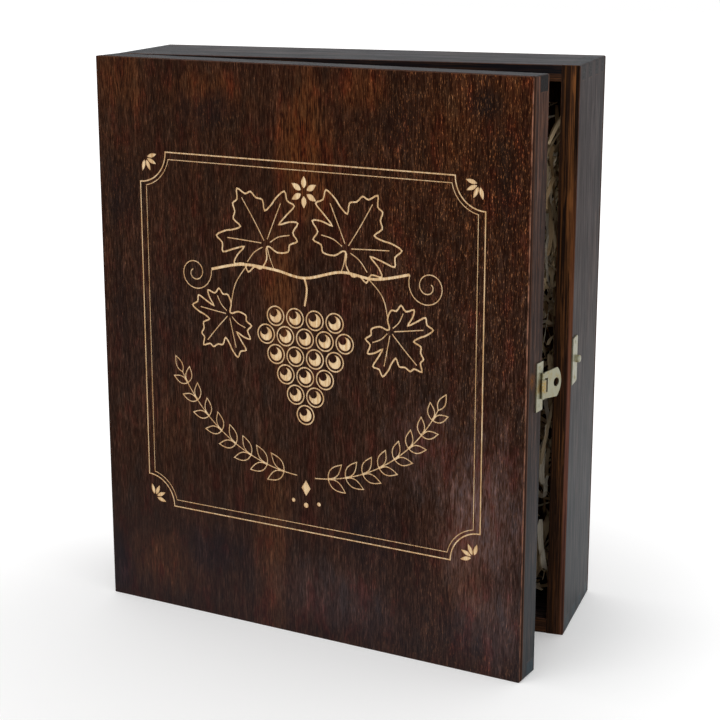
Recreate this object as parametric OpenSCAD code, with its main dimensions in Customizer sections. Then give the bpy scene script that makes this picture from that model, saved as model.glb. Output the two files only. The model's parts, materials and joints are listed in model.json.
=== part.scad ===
// Upright wooden gift box for wine bottles.
// A finger-jointed carcass is closed with a plywood panel front and back, then sawn apart into a
// deep tray and a shallow lid. Two butt hinges join them on the left, and a snap latch holds the right.
// +Z is up, -Y is the front, and the origin is the centre of the tray's underside.

/* [Box] */
// Outer width across the side boards
box_w = 292; // [250:1:330]
// Outer height
box_h = 350; // [310:1:400]
// Depth of the tray, from its rim to its back
tray_depth = 77.5; // [60:0.5:100]
// Depth of the lid, from its face to its rim
lid_depth = 21; // [18:0.5:40]
// Thickness of the side boards
side_t = 11; // [10:0.5:14]
// Thickness of the top and bottom boards
rail_t = 9.5; // [8:0.5:14]
// Thickness of the plywood lid panel and back panel
panel_t = 3.5; // [3:0.5:5]
// Gap between the rims when the box is shut
seam_gap = 0.8; // [0.6:0.1:1.2]
// Radius sanded on the outer corners of the carcass
corner_r = 1.2; // [0.5:0.1:3]
// Radius sanded on the edges of the panels and rims
arris_r = 0.6; // [0.3:0.1:1]

/* [Finger joints] */
// Number of fingers at a corner, before the lid is sawn off
finger_count = 10; // [8:2:12]
// Depth of the side board's first finger, behind the lid panel
first_finger = 6; // [4:0.5:8]
// Width of the saw cut that parts the lid from the tray
saw_kerf = 2; // [1.5:0.1:3]

/* [Opening] */
// Angle at which the lid stands ajar
lid_ajar = 11; // [0:1:60]
// Angle between the hasp and the side of the lid
hasp_ajar = 12; // [0:1:90]

/* [Hinges] */
// Height of one hinge
hinge_h = 30; // [20:1:50]
// Distance from the end of the box to the middle of a hinge
hinge_inset = 60; // [40:1:90]
// Width of a leaf that lies on the rim
leaf_w = 9; // [7:0.5:9.5]
// Thickness of a leaf
leaf_t = 0.7; // [0.6:0.1:1]
// Gap between the leaves when the box is shut
leaf_gap = 0.1; // [0.05:0.05:0.2]
// Number of knuckles on one pin
knuckle_count = 5; // [3:2:7]
// Outer radius of a knuckle
knuckle_r = 1.6; // [1.5:0.1:2]
// Gap between neighbouring knuckles
knuckle_gap = 0.2; // [0.1:0.05:0.4]
// Radius of the hinge pin
pin_r = 0.8; // [0.6:0.05:1]
// Radial play of the lid's knuckles on the pin
pin_play = 0.05; // [0.02:0.01:0.09]
// Length of the pin beyond the last knuckle at each end
pin_end_h = 0.6; // [0.3:0.1:1]

/* [Hinge screws] */
// Radius of the shank
screw_r = 0.9; // [0.7:0.1:1.1]
// Radius of the countersunk head
screw_head_r = 1.7; // [1.5:0.1:2]
// Height of the countersunk head
screw_head_h = 0.6; // [0.4:0.05:0.6]
// Length of the screw
screw_len = 8; // [6:0.5:12]
// Width of the slot across the head
slot_w = 0.5; // [0.3:0.1:0.8]
// Depth of the slot across the head
slot_depth = 0.3; // [0.2:0.05:0.35]
// Distance between the two screws in a leaf
screw_pitch = 18; // [12:1:24]

/* [Latch nails] */
// Radius of the shank
nail_r = 0.6; // [0.5:0.1:0.9]
// Radius of the domed head
nail_head_r = 1.3; // [1.1:0.1:1.6]
// Height of the domed head
nail_head_h = 0.5; // [0.3:0.1:0.8]
// Length of the shank in the wood
nail_len = 7; // [5:0.5:9]
// Distance between the two nails in a plate
nail_pitch = 22; // [20:0.5:24]

/* [Latch] */
// Height of the latch plate and of the catch plate
plate_h = 28.5; // [26:0.5:34]
// Width of the latch plate on the lid
plate_w = 8.5; // [8:0.5:12]
// Thickness of the sheet that all latch pieces are stamped from
sheet_t = 0.8; // [0.6:0.1:1]
// Width of the curled tongue that holds the hasp
tongue_w = 7.6; // [6:0.1:9]
// Radius inside the curl
curl_r = 1; // [0.9:0.05:1.3]
// Radial play of the hasp bar in the curl
bar_play = 0.05; // [0.02:0.01:0.09]
// Gap between each edge of the tongue and the hasp window
window_play = 0.4; // [0.2:0.1:0.8]
// Distance from the hasp bar to the far edge of the window
window_reach = 4.4; // [4:0.1:7]
// Width of the hasp at its bar
hasp_root_w = 15.2; // [14:0.1:18]
// Width of the hasp at its shoulders
hasp_end_w = 17.2; // [16:0.1:20]
// Distance from the bar to the shoulders
hasp_shoulder = 13.6; // [12:0.1:15]
// Distance from the bar to the tip
hasp_len = 17.5; // [17:0.1:20]
// Distance from the bar to the middle of the snap hole
hole_reach = 12.8; // [11:0.1:13]
// Radius of the snap hole
hole_r = 2.6; // [2.4:0.05:2.8]
// Gap between the shut hasp and the catch plate
hasp_gap = 0.25; // [0.1:0.05:0.4]

/* [Catch] */
// Width of the catch plate on the tray
catch_w = 13; // [12.5:0.5:16]
// Radius of the catch plate's rear corners
catch_corner_r = 2; // [1:0.5:4]
// Radius of the nub
nub_r = 2.3; // [2:0.05:2.35]
// Height of the nub above the catch plate
nub_h = 2.7; // [2.4:0.1:2.8]

/* [Wood wool] */
// Gap between the wood wool and the boards
wool_play = 0.3; // [0.2:0.1:1]
// Width of the wood wool along each side board
wool_side_w = 17; // [10:1:25]
// Depth of the wood wool that lines the back panel
wool_back_t = 14; // [8:1:25]
// Height of the wood wool that lines the bottom board
wool_foot_h = 16; // [8:1:30]
// Free height above the wood wool
wool_head_gap = 18; // [10:1:60]
// Distance from the rim back to the wood wool
wool_front_gap = 4; // [2:1:20]
// Radius of the hollow's lower corners
wool_corner_r = 20; // [8:1:30]

/* [Hidden] */
$fn = 48;

stain = [0.20, 0.12, 0.09];
stain_rail = [0.24, 0.15, 0.12];
brass = [0.78, 0.74, 0.60];
straw = [0.76, 0.66, 0.48];

// How far a cutting body runs past the surface that it cuts
over = 1;

// The carcass is laid out by its depth, measured back from the lid's face
carcass_depth = lid_depth + saw_kerf + tray_depth;
finger_pitch = (carcass_depth - 2 * panel_t - first_finger) / (finger_count - 1);
function finger_start(k) = panel_t + (k == 0 ? 0 : first_finger + (k - 1) * finger_pitch);

// Places along Y with the lid shut
rim_y = -tray_depth / 2;
lid_rim_y = rim_y - seam_gap;
lid_face_y = lid_rim_y - lid_depth;
back_inner_y = rim_y + tray_depth - panel_t;
inner_w = box_w - 2 * side_t;

// Hinges
hinge_x = -box_w / 2 - knuckle_r;
hinge_y = rim_y - seam_gap / 2;
leaf_recess = leaf_t - (seam_gap - leaf_gap) / 2;
leaf_x = -box_w / 2 + leaf_w / 2;
upper_hinge_z = box_h - hinge_inset;
lower_hinge_z = hinge_inset;
knuckle_h = (hinge_h - (knuckle_count - 1) * knuckle_gap) / knuckle_count;
knuckle_step = knuckle_h + knuckle_gap;

// Latch, laid out on the outer face of the latch side
latch_x = box_w / 2;
latch_z = box_h / 2;
curl_outer_r = curl_r + sheet_t;
bar_r = curl_r - bar_play;
bar_x = latch_x + sheet_t + curl_r;
bar_y = lid_rim_y - curl_outer_r - hasp_gap / 2;
nub_y = bar_y + hole_reach;
hasp_inner_x = latch_x + sheet_t + hasp_gap;

// ---- Joinery ----

// A cutter that rounds the edge on the Z axis of a block that fills the +X +Y quadrant
module edge_cutter(r, length) {
    difference() {
        translate([-over, -over, 0])
            cube([r + over, r + over, length]);
        translate([r, r, -over])
            cylinder(r = r, h = length + 2 * over);
    }
}

// Rounds the four outer edges that run front to back
module carcass_corner_cutters() {
    length = carcass_depth + 2 * over;
    for (sx = [0, 1], sz = [0, 1])
        mirror([sx, 0, 0])
            translate([0, 0, sz * box_h])
                mirror([0, 0, sz])
                    translate([-box_w / 2, carcass_depth + over, 0])
                        rotate([90, 0, 0])
                            edge_cutter(corner_r, length);
}

// Rounds the front edges of a panel whose face lies at depth 0
module face_cutters() {
    for (sx = [0, 1])
        mirror([sx, 0, 0])
            translate([-box_w / 2, 0, -over])
                edge_cutter(arris_r, box_h + 2 * over);
    for (sz = [0, 1])
        translate([0, 0, sz * box_h])
            mirror([0, 0, sz])
                translate([-box_w / 2 - over, 0, 0])
                    rotate([90, 0, 90])
                        edge_cutter(arris_r, box_w + 2 * over);
}

// Room for the top and bottom boards' fingers in a side board
module side_notches() {
    for (k = [1:2:finger_count - 1], z = [-over, box_h - rail_t])
        translate([-box_w / 2 - over, finger_start(k), z])
            cube([side_t + 2 * over, finger_pitch, rail_t + over]);
}

// Room for the side boards' fingers in the top or bottom board
module rail_notches(z) {
    for (k = [0:2:finger_count - 1], sx = [0, 1])
        mirror([sx, 0, 0])
            translate([-box_w / 2 - over, finger_start(k), z - over])
                cube([side_t + over, finger_start(k + 1) - finger_start(k), rail_t + 2 * over]);
}

// The left side board over the whole depth of the carcass
module whole_side_board() {
    difference() {
        translate([-box_w / 2, panel_t, 0])
            cube([side_t, carcass_depth - 2 * panel_t, box_h]);
        side_notches();
        carcass_corner_cutters();
    }
}

// A top or bottom board over the whole depth of the carcass
module whole_rail(z) {
    difference() {
        translate([-box_w / 2, panel_t, z])
            cube([box_w, carcass_depth - 2 * panel_t, rail_t]);
        rail_notches(z);
        carcass_corner_cutters();
    }
}

// A plywood panel over the whole front or back
module whole_panel() {
    difference() {
        translate([-box_w / 2, 0, 0])
            cube([box_w, panel_t, box_h]);
        carcass_corner_cutters();
        face_cutters();
    }
}

// Keeps what lies in front of the saw cut, moved to where the shut lid stands
module sawn_lid() {
    translate([0, lid_face_y, 0])
        intersection() {
            children();
            translate([-box_w, -over, -over])
                cube([2 * box_w, lid_depth + over, box_h + 2 * over]);
        }
}

// Keeps what lies behind the saw cut, moved to where the tray stands
module sawn_tray() {
    translate([0, rim_y - lid_depth - saw_kerf, 0])
        intersection() {
            children();
            translate([-box_w, lid_depth + saw_kerf, -over])
                cube([2 * box_w, tray_depth + over, box_h + 2 * over]);
        }
}

// Rounds both edges of a left side board's rim; the board lies on the +Y side of the rim
module side_rim_cutters(y) {
    for (x = [0, 1])
        translate([-box_w / 2 + x * side_t, y, -over])
            mirror([x, 0, 0])
                edge_cutter(arris_r, box_h + 2 * over);
}

// Rounds both edges of a top or bottom board's rim; the board lies on the +Y side of the rim
module rail_rim_cutters(y, z) {
    for (k = [0, 1])
        translate([-inner_w / 2 - side_t - over, y, z + k * rail_t])
            mirror([0, 0, k])
                rotate([90, 0, 90])
                    edge_cutter(arris_r, box_w + 2 * over);
}

// Turns what is on the +Y side of a rim to the -Y side of the lid's rim
module at_lid_rim() {
    translate([0, lid_rim_y, 0])
        mirror([0, 1, 0])
            translate([0, -rim_y, 0])
                children();
}

// Swings the shut lid to where it stands ajar
module ajar() {
    translate([hinge_x, hinge_y, 0])
        rotate([0, 0, -lid_ajar])
            translate([-hinge_x, -hinge_y, 0])
                children();
}

// Turns the hasp from shut to where it stands on the lid
module hasp_swung() {
    translate([bar_x, bar_y, 0])
        rotate([0, 0, -hasp_ajar])
            translate([-bar_x, -bar_y, 0])
                children();
}

// ---- Hinges, seen as the tray's half: the leaf lies on the +Y side of the pin ----

module leaf_mortises() {
    for (z = [lower_hinge_z, upper_hinge_z])
        translate([-box_w / 2 - over, rim_y - over, z - hinge_h / 2])
            cube([leaf_w + over, leaf_recess + over, hinge_h]);
}

module screw_pilots() {
    for (z = [lower_hinge_z, upper_hinge_z], side = [-1, 1])
        translate([leaf_x, rim_y, z + side * screw_pitch / 2])
            rotate([-90, 0, 0])
                cylinder(r = screw_r, h = screw_len + leaf_recess - leaf_t);
}

module countersink(h) {
    cylinder(r1 = screw_head_r, r2 = screw_r, h = h);
}

// Leaf with every second knuckle from first, bored to bore_r, about the hinge at height z
module hinge_leaf(z, first, bore_r) {
    difference() {
        union() {
            difference() {
                translate([hinge_x, hinge_y + leaf_gap / 2, z - hinge_h / 2])
                    cube([leaf_w + knuckle_r, leaf_t, hinge_h]);
                for (k = [1 - first:2:knuckle_count - 1])
                    translate([hinge_x - over, hinge_y - over, z - hinge_h / 2 + k * knuckle_step - knuckle_gap])
                        cube([over + knuckle_r + knuckle_gap, leaf_t + 2 * over, knuckle_h + 2 * knuckle_gap]);
            }
            for (k = [first:2:knuckle_count - 1])
                translate([hinge_x, hinge_y, z - hinge_h / 2 + k * knuckle_step])
                    cylinder(r = knuckle_r, h = knuckle_h);
        }
        translate([hinge_x, hinge_y, z - hinge_h / 2 - over])
            cylinder(r = bore_r, h = hinge_h + 2 * over);
        for (side = [-1, 1])
            translate([leaf_x, hinge_y + leaf_gap / 2, z + side * screw_pitch / 2])
                rotate([-90, 0, 0]) {
                    countersink(screw_head_h);
                    cylinder(r = screw_r, h = leaf_t + over);
                }
    }
}

module tray_leaf(z) {
    color(brass)
        hinge_leaf(z, 0, pin_r);
}

module lid_leaf(z) {
    color(brass)
        ajar()
            translate([0, 2 * hinge_y, 0])
                mirror([0, 1, 0])
                    hinge_leaf(z, 1, pin_r + pin_play);
}

module hinge_pin(z) {
    color(brass)
        translate([hinge_x, hinge_y, z - hinge_h / 2 - pin_end_h])
            cylinder(r = pin_r, h = hinge_h + 2 * pin_end_h);
}

module hinge_screws() {
    for (z = [lower_hinge_z, upper_hinge_z], side = [-1, 1])
        translate([leaf_x, hinge_y + leaf_gap / 2, z + side * screw_pitch / 2])
            rotate([-90, 0, 0])
                difference() {
                    union() {
                        countersink(screw_head_h);
                        cylinder(r = screw_r, h = screw_len);
                    }
                    translate([-screw_head_r, -slot_w / 2, -over])
                        cube([2 * screw_head_r, slot_w, over + slot_depth]);
                }
}

// ---- Latch ----

// Nail that points to -X with its head on the plate at x = 0
module plate_nail() {
    rotate([0, -90, 0])
        cylinder(r = nail_r, h = sheet_t + nail_len);
    rotate([0, 90, 0])
        rotate_extrude()
            intersection() {
                dome_r = (nail_head_r * nail_head_r + nail_head_h * nail_head_h) / (2 * nail_head_h);
                translate([0, nail_head_h - dome_r])
                    circle(r = dome_r);
                square([nail_head_r, nail_head_h]);
            }
}

module plate_nails(y) {
    for (side = [-1, 1])
        translate([latch_x + sheet_t, y, latch_z + side * nail_pitch / 2])
            plate_nail();
}

module nail_holes(y, from_x) {
    for (side = [-1, 1])
        translate([from_x, y, latch_z + side * nail_pitch / 2])
            rotate([0, -90, 0])
                cylinder(r = nail_r, h = sheet_t + nail_len);
}

latch_nail_y = lid_rim_y - plate_w / 2;
catch_nail_y = rim_y + catch_w / 2;

// Upright strip on the lid, with a tongue that curls round the hasp bar
module latch_plate() {
    color(brass)
        ajar()
            difference() {
                union() {
                    difference() {
                        translate([latch_x, lid_rim_y - plate_w, latch_z - plate_h / 2])
                            cube([sheet_t, plate_w, plate_h]);
                        translate([latch_x - over, bar_y, latch_z - tongue_w / 2 - window_play])
                            cube([sheet_t + 2 * over, plate_w, tongue_w + 2 * window_play]);
                    }
                    difference() {
                        translate([bar_x, bar_y, latch_z - tongue_w / 2])
                            cylinder(r = curl_outer_r, h = tongue_w);
                        translate([latch_x + sheet_t, bar_y - curl_outer_r - over, latch_z - tongue_w / 2 - over])
                            cube([curl_r, curl_outer_r + over, tongue_w + 2 * over]);
                        translate([latch_x - over, bar_y - 2 * curl_outer_r, latch_z - tongue_w / 2 - over])
                            cube([sheet_t + over, 2 * curl_outer_r, tongue_w + 2 * over]);
                    }
                }
                translate([bar_x, bar_y, latch_z - tongue_w / 2 - over])
                    cylinder(r = curl_r, h = tongue_w + 2 * over);
                nail_holes(latch_nail_y, latch_x + sheet_t);
            }
}

// Outline of the hasp in its own plane: X runs from the bar to the tip
module hasp_outline() {
    half = hasp_end_w / 2;
    rise = hasp_len - hasp_shoulder;
    tip_r = (half * half + rise * rise) / (2 * rise);
    difference() {
        intersection() {
            polygon([
                [0, -hasp_root_w / 2], [hasp_shoulder, -half], [hasp_len, -half],
                [hasp_len, half], [hasp_shoulder, half], [0, hasp_root_w / 2],
            ]);
            translate([hasp_len - tip_r, 0])
                circle(r = tip_r);
        }
        translate([-over, -tongue_w / 2 - window_play])
            square([window_reach + over, tongue_w + 2 * window_play]);
        translate([hole_reach, 0])
            circle(r = hole_r);
    }
}

// Swinging hasp with the bar that turns in the curl, and the hole that snaps over the nub
module latch_hasp() {
    color(brass)
        ajar()
            hasp_swung() {
                translate([hasp_inner_x, bar_y, latch_z])
                    rotate([90, 0, 90])
                        linear_extrude(sheet_t)
                            hasp_outline();
                translate([bar_x, bar_y, latch_z - hasp_root_w / 2])
                    cylinder(r = bar_r, h = hasp_root_w);
            }
}

// Plate on the tray with the nub that the hasp snaps over
module catch_plate() {
    color(brass)
        difference() {
            union() {
                difference() {
                    translate([latch_x, rim_y, latch_z - plate_h / 2])
                        cube([sheet_t, catch_w, plate_h]);
                    for (sz = [0, 1])
                        translate([0, 0, latch_z])
                            mirror([0, 0, sz])
                                translate([latch_x - over, rim_y + catch_w, -plate_h / 2])
                                    rotate([90, 0, 90])
                                        mirror([1, 0, 0])
                                            edge_cutter(catch_corner_r, sheet_t + 2 * over);
                }
                translate([latch_x, nub_y, latch_z])
                    rotate([0, 90, 0])
                        rotate_extrude()
                            nub_profile();
            }
            nail_holes(catch_nail_y, latch_x + sheet_t);
        }
}

// Half section of the nub from the wood to its rounded top
module nub_profile() {
    top = sheet_t + nub_h;
    round_r = nub_r / 2;
    square([nub_r, top - round_r]);
    square([nub_r - round_r, top]);
    translate([nub_r - round_r, top - round_r])
        circle(r = round_r);
}

// ---- Tray ----

module top_board() {
    color(stain_rail)
        difference() {
            sawn_tray()
                whole_rail(box_h - rail_t);
            rail_rim_cutters(rim_y, box_h - rail_t);
        }
}

module bottom_board() {
    color(stain_rail)
        difference() {
            sawn_tray()
                whole_rail(0);
            rail_rim_cutters(rim_y, 0);
        }
}

module hinge_side_board() {
    color(stain)
        difference() {
            sawn_tray()
                whole_side_board();
            side_rim_cutters(rim_y);
            leaf_mortises();
            screw_pilots();
        }
}

module latch_side_board() {
    color(stain)
        difference() {
            mirror([1, 0, 0])
                difference() {
                    sawn_tray()
                        whole_side_board();
                    side_rim_cutters(rim_y);
                }
            nail_holes(catch_nail_y, latch_x + sheet_t);
        }
}

module back_panel() {
    color(stain)
        translate([0, rim_y + tray_depth, 0])
            mirror([0, 1, 0])
                whole_panel();
}

// Loose bed that lines the back, the sides and the bottom, and leaves a nest for the bottles
module wood_wool() {
    bed_w = inner_w - 2 * wool_play;
    bed_h = box_h - 2 * rail_t - wool_play - wool_head_gap;
    bed_back_y = back_inner_y - wool_play;
    bed_depth = bed_back_y - rim_y - wool_front_gap;
    nest_w = bed_w - 2 * wool_side_w;
    color(straw)
        difference() {
            translate([-bed_w / 2, bed_back_y - bed_depth, rail_t + wool_play])
                cube([bed_w, bed_depth, bed_h]);
            translate([0, bed_back_y - wool_back_t, rail_t + wool_play + wool_foot_h])
                rotate([90, 0, 0])
                    linear_extrude(bed_depth) {
                        translate([-nest_w / 2, wool_corner_r])
                            square([nest_w, bed_h]);
                        translate([-nest_w / 2 + wool_corner_r, 0])
                            square([nest_w - 2 * wool_corner_r, bed_h]);
                        for (side = [-1, 1])
                            translate([side * (nest_w / 2 - wool_corner_r), wool_corner_r])
                                circle(r = wool_corner_r);
                    }
        }
}

// ---- Lid ----

module lid_panel() {
    color(stain)
        ajar()
            sawn_lid()
                whole_panel();
}

module lid_rail(z) {
    color(stain_rail)
        ajar()
            difference() {
                sawn_lid()
                    whole_rail(z);
                at_lid_rim()
                    rail_rim_cutters(rim_y, z);
            }
}

module lid_top_rail() {
    lid_rail(box_h - rail_t);
}

module lid_bottom_rail() {
    lid_rail(0);
}

module lid_hinge_stile() {
    color(stain)
        ajar()
            difference() {
                sawn_lid()
                    whole_side_board();
                at_lid_rim() {
                    side_rim_cutters(rim_y);
                    leaf_mortises();
                    screw_pilots();
                }
            }
}

module lid_latch_stile() {
    color(stain)
        ajar()
            difference() {
                mirror([1, 0, 0])
                    difference() {
                        sawn_lid()
                            whole_side_board();
                        at_lid_rim()
                            side_rim_cutters(rim_y);
                    }
                nail_holes(latch_nail_y, latch_x + sheet_t);
            }
}

// ---- Fastener groups ----

module hinge_tray_screws() {
    color(brass)
        hinge_screws();
}

module hinge_lid_screws() {
    color(brass)
        ajar()
            translate([0, 2 * hinge_y, 0])
                mirror([0, 1, 0])
                    hinge_screws();
}

module latch_plate_nails() {
    color(brass)
        ajar()
            plate_nails(latch_nail_y);
}

module catch_plate_nails() {
    color(brass)
        plate_nails(catch_nail_y);
}

top_board();
bottom_board();
hinge_side_board();
latch_side_board();
back_panel();
wood_wool();
lid_panel();
lid_top_rail();
lid_bottom_rail();
lid_hinge_stile();
lid_latch_stile();
tray_leaf(upper_hinge_z);  // upper_hinge_tray_leaf
lid_leaf(upper_hinge_z);  // upper_hinge_lid_leaf
hinge_pin(upper_hinge_z);  // upper_hinge_pin
tray_leaf(lower_hinge_z);  // lower_hinge_tray_leaf
lid_leaf(lower_hinge_z);  // lower_hinge_lid_leaf
hinge_pin(lower_hinge_z);  // lower_hinge_pin
hinge_tray_screws();
hinge_lid_screws();
latch_plate();
latch_plate_nails();
latch_hasp();
catch_plate();
catch_plate_nails();
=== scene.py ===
import json
import math
import random

import bpy
from mathutils import Matrix, Vector


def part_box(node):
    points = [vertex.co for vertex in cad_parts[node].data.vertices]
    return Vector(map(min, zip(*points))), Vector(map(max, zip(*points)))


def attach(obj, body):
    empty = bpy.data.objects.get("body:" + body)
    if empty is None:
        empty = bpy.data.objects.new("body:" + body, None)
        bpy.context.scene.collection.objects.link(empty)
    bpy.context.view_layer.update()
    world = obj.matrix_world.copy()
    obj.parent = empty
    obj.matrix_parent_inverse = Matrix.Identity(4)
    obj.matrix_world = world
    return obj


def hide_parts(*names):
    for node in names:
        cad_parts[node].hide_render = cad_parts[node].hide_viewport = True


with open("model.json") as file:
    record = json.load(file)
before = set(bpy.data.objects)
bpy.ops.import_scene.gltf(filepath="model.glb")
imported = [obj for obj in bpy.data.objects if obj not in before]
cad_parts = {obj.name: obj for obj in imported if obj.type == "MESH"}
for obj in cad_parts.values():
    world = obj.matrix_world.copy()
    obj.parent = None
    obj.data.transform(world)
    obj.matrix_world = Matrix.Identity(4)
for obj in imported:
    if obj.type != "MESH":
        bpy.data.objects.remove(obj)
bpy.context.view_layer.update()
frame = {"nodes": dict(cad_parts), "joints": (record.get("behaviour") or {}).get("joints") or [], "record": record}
nodes = frame["nodes"]
print("frame loaded:", len(nodes), "nodes")

mm = 0.001
squareOn = 0.6      # a face looks along an axis when its normal reaches this far along it

# The lid stands ajar; its pieces are worked out as if shut, then swung open on the hinge pins
lidJoint = next(joint for joint in frame["joints"] if joint["name"] == "lid_hinge")
lidPin = Vector(lidJoint["pos_m"])
lidAjar = math.radians(-lidJoint["range_deg"][0])
lidOpen = Matrix.Translation(lidPin) @ Matrix.Rotation(-lidAjar, 4, "Z") @ Matrix.Translation(-lidPin)
lidShut = lidOpen.inverted()
lidNodes = frame["record"]["behaviour"]["bodies"]["lid"]


def deselect():
    if bpy.context.object and bpy.context.object.mode != "OBJECT":
        bpy.ops.object.mode_set(mode="OBJECT")
    bpy.ops.object.select_all(action="DESELECT")


def pick(*pieces):
    deselect()
    for piece in pieces:
        piece.select_set(True)
    bpy.context.view_layer.objects.active = pieces[0]


def joinAll(pieces, name):
    pick(*pieces)
    bpy.ops.object.join()
    pieces[0].name = name
    return pieces[0]


def applyModifier(piece, kind, **settings):
    pick(piece)
    modifier = piece.modifiers.new(kind.title(), kind)
    for key, value in settings.items():
        setattr(modifier, key, value)
    bpy.ops.object.modifier_apply(modifier=modifier.name)


# A node's lowest and highest corners with the lid shut, where its boards lie square
def shutBox(name):
    turn = lidShut if name in lidNodes else Matrix.Identity(4)
    points = [turn @ vertex.co for vertex in nodes[name].data.vertices]
    sides = list(zip(*points))
    return Vector([min(side) for side in sides]), Vector([max(side) for side in sides])


# ---- shader node helpers

# What a node puts out. Sums of wires add Math nodes to their tree, so that a finish reads as sums
class Wire:
    def __init__(self, socket):
        self.socket = socket
        self.tree = socket.id_data

    def __add__(self, other):
        return maths("ADD", self, other)

    def __sub__(self, other):
        return maths("SUBTRACT", self, other)

    def __rsub__(self, other):
        return maths("SUBTRACT", other, self)

    def __mul__(self, other):
        return maths("MULTIPLY", self, other)

    def __truediv__(self, other):
        return maths("DIVIDE", self, other)

    def __gt__(self, other):
        return maths("GREATER_THAN", self, other)

    def __abs__(self):
        return maths("ABSOLUTE", self)


def place(tree, kind, **settings):
    node = tree.nodes.new("ShaderNode" + kind)
    for key, value in settings.items():
        setattr(node, key, value)
    return node


def feed(node, inputs):
    for key, value in inputs.items():
        if isinstance(value, Wire):
            value.tree.links.new(value.socket, node.inputs[key])
        elif value is not None:
            node.inputs[key].default_value = value


# A node in the tree that its inputs come from
def wired(kind, output, inputs, **settings):
    tree = next(value.tree for value in inputs.values() if isinstance(value, Wire))
    node = place(tree, kind, **settings)
    feed(node, inputs)
    return Wire(node.outputs[output])


def maths(operation, *values):
    return wired("Math", 0, dict(enumerate(values)), operation=operation)


def vectorMaths(operation, *values):
    output = "Value" if operation in ("LENGTH", "DISTANCE") else "Vector"
    return wired("VectorMath", output, dict(enumerate(values)), operation=operation)


def highest(first, second):
    return maths("MAXIMUM", first, second)


def lowest(first, second):
    return maths("MINIMUM", first, second)


# A value's run from low to high, straight or eased at its ends, taken to the run from toLow to toHigh
def ramp(value, low, high, toLow=0, toHigh=1, kind="LINEAR"):
    values = dict(enumerate((value, low, high, toLow, toHigh)))
    return wired("MapRange", "Result", values, interpolation_type=kind)


def ease(value, low, high, toLow=0, toHigh=1):
    return ramp(value, low, high, toLow, toHigh, "SMOOTHSTEP")


def mapped(vector, scale=(1, 1, 1), shift=None, turn=(0, 0, 0), kind="POINT"):
    inputs = {"Vector": vector, "Scale": scale, "Rotation": turn, "Location": shift}
    return wired("Mapping", "Vector", inputs, vector_type=kind)


def noise(vector, detail=2, roughness=0.5, distortion=0):
    inputs = {"Vector": vector, "Scale": 1, "Detail": detail, "Roughness": roughness,
              "Distortion": distortion}
    return wired("TexNoise", "Fac", inputs)


def mixColor(factor, first, second, blend="MIX"):
    return wired("Mix", 2, {0: factor, 6: first, 7: second}, data_type="RGBA", blend_type=blend)


def split(vector):
    node = place(vector.tree, "SeparateXYZ")
    feed(node, {0: vector})
    return [Wire(output) for output in node.outputs]


def combined(x, y, z):
    return wired("CombineXYZ", 0, {0: x, 1: y, 2: z})


# A group's inputs without a value are vectors, the rest are numbers, and so is all it gives
def newGroup(name, inputs, outputs):
    tree = bpy.data.node_groups.new(name, "ShaderNodeTree")
    for label, value in inputs.items():
        kind = "NodeSocketVector" if value is None else "NodeSocketFloat"
        socket = tree.interface.new_socket(label, in_out="INPUT", socket_type=kind)
        if value is not None:
            socket.default_value = value
    for label in outputs:
        tree.interface.new_socket(label, in_out="OUTPUT", socket_type="NodeSocketFloat")
    given = {output.name: Wire(output) for output in tree.nodes.new("NodeGroupInput").outputs}
    return tree, given, tree.nodes.new("NodeGroupOutput")


def useGroup(group, vector, **inputs):
    node = place(vector.tree, "Group", node_tree=group)
    feed(node, {"Vector": vector, **inputs})
    return {output.name: Wire(output) for output in node.outputs}


def newMaterial(name):
    material = bpy.data.materials.new(name)
    material.use_nodes = True
    tree = material.node_tree
    return material, tree, tree.nodes["Principled BSDF"]


def coordinates(tree, kind):
    return Wire(place(tree, "TexCoord").outputs[kind])


def addBump(shader, height, strength, distance=0.0002):
    inputs = {"Strength": strength, "Distance": distance, "Height": height}
    feed(shader, {"Normal": wired("Bump", "Normal", inputs)})


def color(red, green, blue):
    return (red, green, blue, 1)


def paint(name, material):
    mesh = nodes[name].data
    mesh.materials.clear()
    mesh.materials.append(material)


# ---- camera, light and floor

cameraView = {
    "azimuth": 18.375,
    "elevation": 14.308,
    "distance": 1.0904,
    "target": (0.01314, -0.03875, 0.16563),
    "lens": 87.88,
    "sensor": 36,
}

studio = {
    "skyLight": 0.86,       # light that reaches the object from all round
    "skyShine": 0.80,       # what metal and varnish mirror
    "shineColor": color(0.90, 0.955, 1.0),
    "white": color(1, 1, 1),
    "sunPower": 0.55,
    "sunSpread": 40,
    "sunFrom": (-0.55, -0.75, 0.9),
    "floorSize": 14,
    "floorColor": color(0.86, 0.86, 0.86),
    "floorRoughness": 0.95,
    "floorGlow": (0.20, 0.42),      # near glowCentre and far from it, seen by the camera only
    "glowReach": (0.14, 0.42),
    "glowCentre": (-0.02, -0.12, 0),
}


def addCamera():
    around = math.radians(cameraView["azimuth"])
    up = math.radians(cameraView["elevation"])
    away = Vector((math.sin(around) * math.cos(up), -math.cos(around) * math.cos(up), math.sin(up)))
    bpy.ops.object.camera_add(location=Vector(cameraView["target"]) + away * cameraView["distance"])
    camera = bpy.context.object
    camera.rotation_euler = away.to_track_quat("Z", "Y").to_euler()
    camera.data.sensor_width = cameraView["sensor"]
    camera.data.lens = cameraView["lens"]
    bpy.context.scene.camera = camera


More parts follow.
